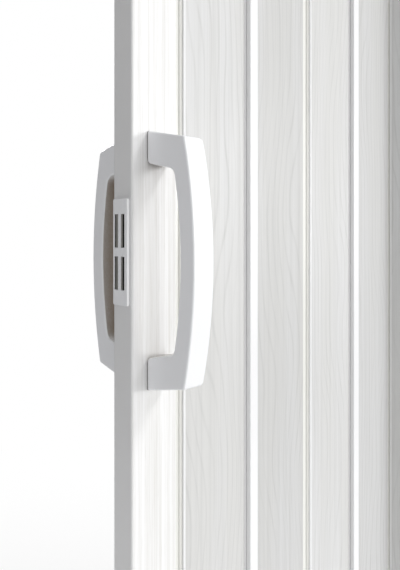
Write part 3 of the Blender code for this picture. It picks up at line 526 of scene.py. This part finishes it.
def sintered_ferrite(name, colour):
    """Dull ferrite with paler grains."""
    material, tree, shader = new_material(name)
    speckle = noise(tree, own_coordinates(tree), scale=2400, detail=3.0)
    grains = ramp(tree, speckle, FERRITE_PROFILE)
    speckled = blend_colours(tree, grains, colour, scaled(colour, FERRITE_GRAINS))
    tree.links.new(speckled, shader.inputs["Base Color"])
    tree.links.new(value_between(tree, speckle, *FERRITE_ROUGHNESS), shader.inputs["Roughness"])
    bump(tree, shader, speckle, strength=0.3, distance=0.00008)
    return material


def painted_metal(name, colour):
    """Powder coat with a fine orange peel."""
    material, tree, shader = new_material(name)
    broad = noise(tree, own_coordinates(tree), scale=14)
    uneven = blend_colours(tree, broad, colour, scaled(colour, PAINT_CLOUDS))
    tree.links.new(uneven, shader.inputs["Base Color"])
    peel = noise(tree, own_coordinates(tree), scale=900)
    tree.links.new(value_between(tree, peel, *PAINT_ROUGHNESS), shader.inputs["Roughness"])
    bump(tree, shader, peel, strength=0.2, distance=0.0001)
    return material


POST_FILM = post_film("post_wood_film")
PLAIN_PVC = extruded_pvc("plain_white_pvc", JAMB_PVC)
STRIP_PVC = extruded_pvc("hinge_strip_pvc", BARE_PVC)
# Painted shade on the strips' sides in the groove
paint_shade(STRIP_PVC, groove_side, GROOVE_PAINTED_SHADE)
HANDLE_PLASTIC = gloss_plastic("white_handle_plastic")
# Painted shade in the handles' recesses
paint_shade(HANDLE_PLASTIC, painted_recess_shade, RECESS_PAINTED_SHADE)
# Painted shadow line where the handles' feet meet the post
paint_shade(HANDLE_PLASTIC, painted_foot_shadow, FOOT_PAINTED_SHADOW)
CATCH_PLASTIC = gloss_plastic("white_catch_plastic")
# Painted shade inside the catch's slots
paint_shade(CATCH_PLASTIC, deep_slots, SLOT_PAINTED_SHADE)
NYLON = moulded_plastic(
    "natural_nylon", NATURAL_NYLON, NYLON_ROUGHNESS, grain_scale=500, grain_strength=0.15
)
TRACK_PAINT = painted_metal("white_track_paint", TRACK_WHITE)
STEEL = plated_steel("zinc_plated_steel", ZINC)
POLE_STEEL = plated_steel("catch_pole_steel", BRIGHT_ZINC)
# Painted shade on the poles deep in the slots and along the front poles' front edge
paint_shade(POLE_STEEL, deep_slots, POLE_PAINTED_SHADE)
paint_shade(POLE_STEEL, painted_pole_edge_shade, POLE_PAINTED_SHADE)
FERRITE = sintered_ferrite("dark_ferrite", DARK_FERRITE)

FINISHES = {
    "plain_pvc": PLAIN_PVC,
    "handle_plastic": HANDLE_PLASTIC,
    "nylon": NYLON,
    "track_metal": TRACK_PAINT,
    "steel": STEEL,
    "ferrite": FERRITE,
}


# Pieces

def body_of(node):
    for body, members in frame["record"]["behaviour"]["bodies"].items():
        if node in members:
            return body
    return "root"


def slot_of(node):
    return frame["nodes"][node].data.materials[0].name


def welded_shape(node, placement=IN_PLACE):
    """A node's solid with its faces joined, in the frame that placement gives."""
    shape = bmesh.new()
    shape.from_mesh(frame["nodes"][node].data)
    bmesh.ops.remove_doubles(shape, verts=shape.verts, dist=WELD_DISTANCE)
    bmesh.ops.transform(shape, matrix=placement.inverted(), verts=shape.verts)
    return shape


def add_piece(node, shape, material, placement=IN_PLACE):
    """Turns a shape into a shaded piece that stands for a node and rides on its body."""
    name = f"{node}_finish"
    mesh = bpy.data.meshes.new(name)
    shape.to_mesh(mesh)
    shape.free()
    mesh.materials.clear()
    mesh.materials.append(material)
    old_shading = mesh.attributes.get("custom_normal")
    if old_shading:
        mesh.attributes.remove(old_shading)
    mesh.shade_smooth()
    mesh.set_sharp_from_angle(angle=SHARP_ANGLE)
    piece = bpy.data.objects.new(name, mesh)
    bpy.context.scene.collection.objects.link(piece)
    piece.matrix_world = placement
    shading = piece.modifiers.new("flat_faces", "WEIGHTED_NORMAL")
    shading.keep_sharp = True
    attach(piece, body_of(node))
    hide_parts(node)


def dress(node, material, placement=IN_PLACE):
    """Finished piece in a node's own shape."""
    add_piece(node, welded_shape(node, placement), material, placement)


def dress_handle(node):
    """Handle whose flat faces are whole, so that its edges shade cleanly round the bolt holes."""
    shape = welded_shape(node)
    bmesh.ops.dissolve_limit(shape, angle_limit=FLAT_ANGLE, verts=shape.verts, edges=shape.edges)
    add_piece(node, shape, HANDLE_PLASTIC)


def joint_place(child):
    for joint in frame["joints"]:
        if joint["child"] == child:
            return Vector(joint["pos_m"])
    raise KeyError(child)


def bead_line(number):
    """The two bead axes that a slat hangs between, far one first."""
    far = "post" if number == SLAT_COUNT else f"strip_{number}"
    return joint_place(far), joint_place(f"slat_{number}")


def heading(line):
    run = line[1] - line[0]
    return math.atan2(run.y, run.x)


def slat_placement(number):
    """A slat's own frame: its middle, turned as the slat is turned at rest."""
    line = bead_line(number)
    flat_twin = FIRST_FLAT_SLAT + (number - FIRST_FLAT_SLAT) % 2
    turn = heading(line) - heading(bead_line(flat_twin))
    return Matrix.Translation((line[0] + line[1]) / 2) @ Matrix.Rotation(turn, 4, "Z")


def strip_number(node):
    """Place of a hinge strip in the row, counted from the wall."""
    tail = node.rsplit("_", 1)[1]
    if tail in END_STRIPS:
        return END_STRIPS[tail]
    return int(tail)


def strip_placement(node):
    """A hinge strip's own frame: Y points out of its cap, from 0 on the cap's outer face."""
    low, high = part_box(node)
    odd = strip_number(node) % 2
    face = ((low.x + high.x) / 2, low.y if odd else high.y, 0)
    return Matrix.Translation(face) @ Matrix.Rotation(odd * math.pi, 4, "Z")


def cross_cutter(head, radius):
    """Tapered cross that stands in a head. Head is a frame with Z out of the head's face."""
    reach = CROSS_REACH * radius
    half = CROSS_HALF_WIDTH * radius
    arm = [(half, half), (half, reach), (-half, reach)]
    cutter = bmesh.new()
    rings = []
    for height, size in ((CROSS_OVERLAP, 1.0), (-CROSS_DEPTH, CROSS_TAPER)):
        ring = []
        for quarter in range(4):
            turn = Matrix.Rotation(quarter * math.pi / 2, 4, "Z")
            for x, y in arm:
                ring.append(cutter.verts.new(turn @ Vector((x * size, y * size, height * radius))))
        rings.append(ring)
    outer, inner = rings
    cutter.faces.new(outer)
    cutter.faces.new(inner[::-1])
    for index, corner in enumerate(outer):
        cutter.faces.new((outer[index - 1], inner[index - 1], inner[index], corner))
    bmesh.ops.recalc_face_normals(cutter, faces=cutter.faces)
    bmesh.ops.transform(cutter, matrix=head, verts=cutter.verts)
    return cutter


def cut_away(shape, cutter):
    """The shape without the room that the cutter takes."""
    workpieces = []
    for solid in (shape, cutter):
        mesh = bpy.data.meshes.new("workpiece")
        solid.to_mesh(mesh)
        solid.free()
        workpiece = bpy.data.objects.new("workpiece", mesh)
        bpy.context.scene.collection.objects.link(workpiece)
        workpieces.append(workpiece)
    blank, tool = workpieces
    removal = blank.modifiers.new("removal", "BOOLEAN")
    removal.operation = "DIFFERENCE"
    removal.solver = "EXACT"
    removal.object = tool
    result = bmesh.new()
    result.from_object(blank, bpy.context.evaluated_depsgraph_get())
    for workpiece in workpieces:
        mesh = workpiece.data
        bpy.data.objects.remove(workpiece)
        bpy.data.meshes.remove(mesh)
    return result


def dress_fastener(node, facing):
    """Screw or bolt with a cross recess in its head, which looks along the axis facing."""
    low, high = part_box(node)
    middle = (low + high) / 2
    axis = Vector(facing)
    face = middle + axis * ((high - low).dot(axis) / 2)
    head = Matrix.Translation(face) @ axis.to_track_quat("Z", "Y").to_matrix().to_4x4()
    cross = cross_cutter(head, radius=(high.z - low.z) / 2)
    add_piece(node, cut_away(welded_shape(node), cross), STEEL)


def dress_slats():
    for number in range(1, SLAT_COUNT + 1):
        dress(f"slat_{number}", slat_film(number), slat_placement(number))


def dress_rest():
    for node in sorted(frame["nodes"]):
        if node.startswith("slat_"):
            continue
        if node == "lead_post":
            dress(node, POST_FILM)
        elif node == "catch_housing":
            dress(node, CATCH_PLASTIC)
        elif node.startswith("catch_pole"):
            dress(node, POLE_STEEL)
        elif node in ("handle_front", "handle_back"):
            dress_handle(node)
        elif node.startswith("keeper_screw"):
            dress_fastener(node, facing=(1, 0, 0))
        elif node.startswith("handle_bolt"):
            dress_fastener(node, facing=(0, 1, 0))
        elif node.startswith("hinge_strip"):
            dress(node, STRIP_PVC, strip_placement(node))
        else:
            dress(node, FINISHES[slot_of(node)])


# Stage, light and camera

def floor_material():
    """Pale floor that glows white towards its rim."""
    material, tree, shader = new_material("pale_floor")
    shader.inputs["Base Color"].default_value = (*FLOOR_GREY, 1)
    shader.inputs["Roughness"].default_value = FLOOR_ROUGHNESS
    place = add_node(tree, "ShaderNodeTexCoord")
    away = add_node(tree, "ShaderNodeVectorMath", operation="LENGTH")
    tree.links.new(place.outputs["Object"], away.inputs[0])
    rim = rise(tree, away.outputs["Value"], FLOOR_PLAIN_RADIUS, FLOOR_RADIUS, "SMOOTHSTEP")
    white = add_node(tree, "ShaderNodeEmission")
    mix = add_node(tree, "ShaderNodeMixShader")
    tree.links.new(rim, mix.inputs["Fac"])
    tree.links.new(shader.outputs["BSDF"], mix.inputs[1])
    tree.links.new(white.outputs["Emission"], mix.inputs[2])
    tree.links.new(mix.outputs["Shader"], tree.nodes["Material Output"].inputs["Surface"])
    return material


def build_floor():
    """Round floor that grows into the white backdrop."""
    shape = bmesh.new()
    bmesh.ops.create_circle(shape, cap_ends=True, segments=FLOOR_SIDES, radius=FLOOR_RADIUS)
    mesh = bpy.data.meshes.new("floor")
    shape.to_mesh(mesh)
    shape.free()
    mesh.materials.append(floor_material())
    floor = bpy.data.objects.new("floor", mesh)
    floor.location = (0, 0, cad_low.z)
    bpy.context.scene.collection.objects.link(floor)


def build_world():
    """Soft surroundings: bright in front, middling on the left and overhead, dim elsewhere.

    The camera itself sees a plain white backdrop.
    """
    world = bpy.data.worlds.new("studio")
    world.use_nodes = True
    tree = world.node_tree
    source = add_node(tree, "ShaderNodeTexCoord")
    direction = components(tree, source.outputs["Generated"])
    colour = WORLD_LEFT
    for axis, start, end, beyond in WORLD_SWEEPS:
        sweep = rise(tree, direction[axis], start, end, "SMOOTHSTEP")
        colour = blend_colours(tree, sweep, colour, beyond)
    rays = add_node(tree, "ShaderNodeLightPath")
    seen = blend_colours(tree, rays.outputs["Is Camera Ray"], colour, BACKDROP)
    tree.links.new(seen, tree.nodes["Background"].inputs["Color"])
    bpy.context.scene.world = world


def add_lamp(name, place, power):
    """Round soft light that looks at the middle of the lead post."""
    lamp = bpy.data.lights.new(name, "AREA")
    lamp.shape = "DISK"
    lamp.size = LAMP_SIZE
    lamp.energy = power
    light = bpy.data.objects.new(name, lamp)
    light.location = place
    light.rotation_euler = (Vector(LAMP_TARGET) - Vector(place)).to_track_quat("-Z", "Y").to_euler()
    bpy.context.scene.collection.objects.link(light)


def build_camera():
    lens = bpy.data.cameras.new("camera")
    lens.lens = CAMERA_LENS
    lens.sensor_width = CAMERA_SENSOR
    lens.shift_x, lens.shift_y = CAMERA_SHIFT
    lens.clip_start = CAMERA_NEAR
    camera = bpy.data.objects.new("camera", lens)
    camera.location = CAMERA_PLACE
    camera.rotation_euler = (math.pi / 2, 0, CAMERA_YAW)
    bpy.context.scene.collection.objects.link(camera)
    bpy.context.scene.camera = camera


dress_slats()
dress_rest()
build_floor()
build_world()
for lamp_settings in LAMPS:
    add_lamp(*lamp_settings)
build_camera()
bpy.context.scene.view_settings.view_transform = "Standard"
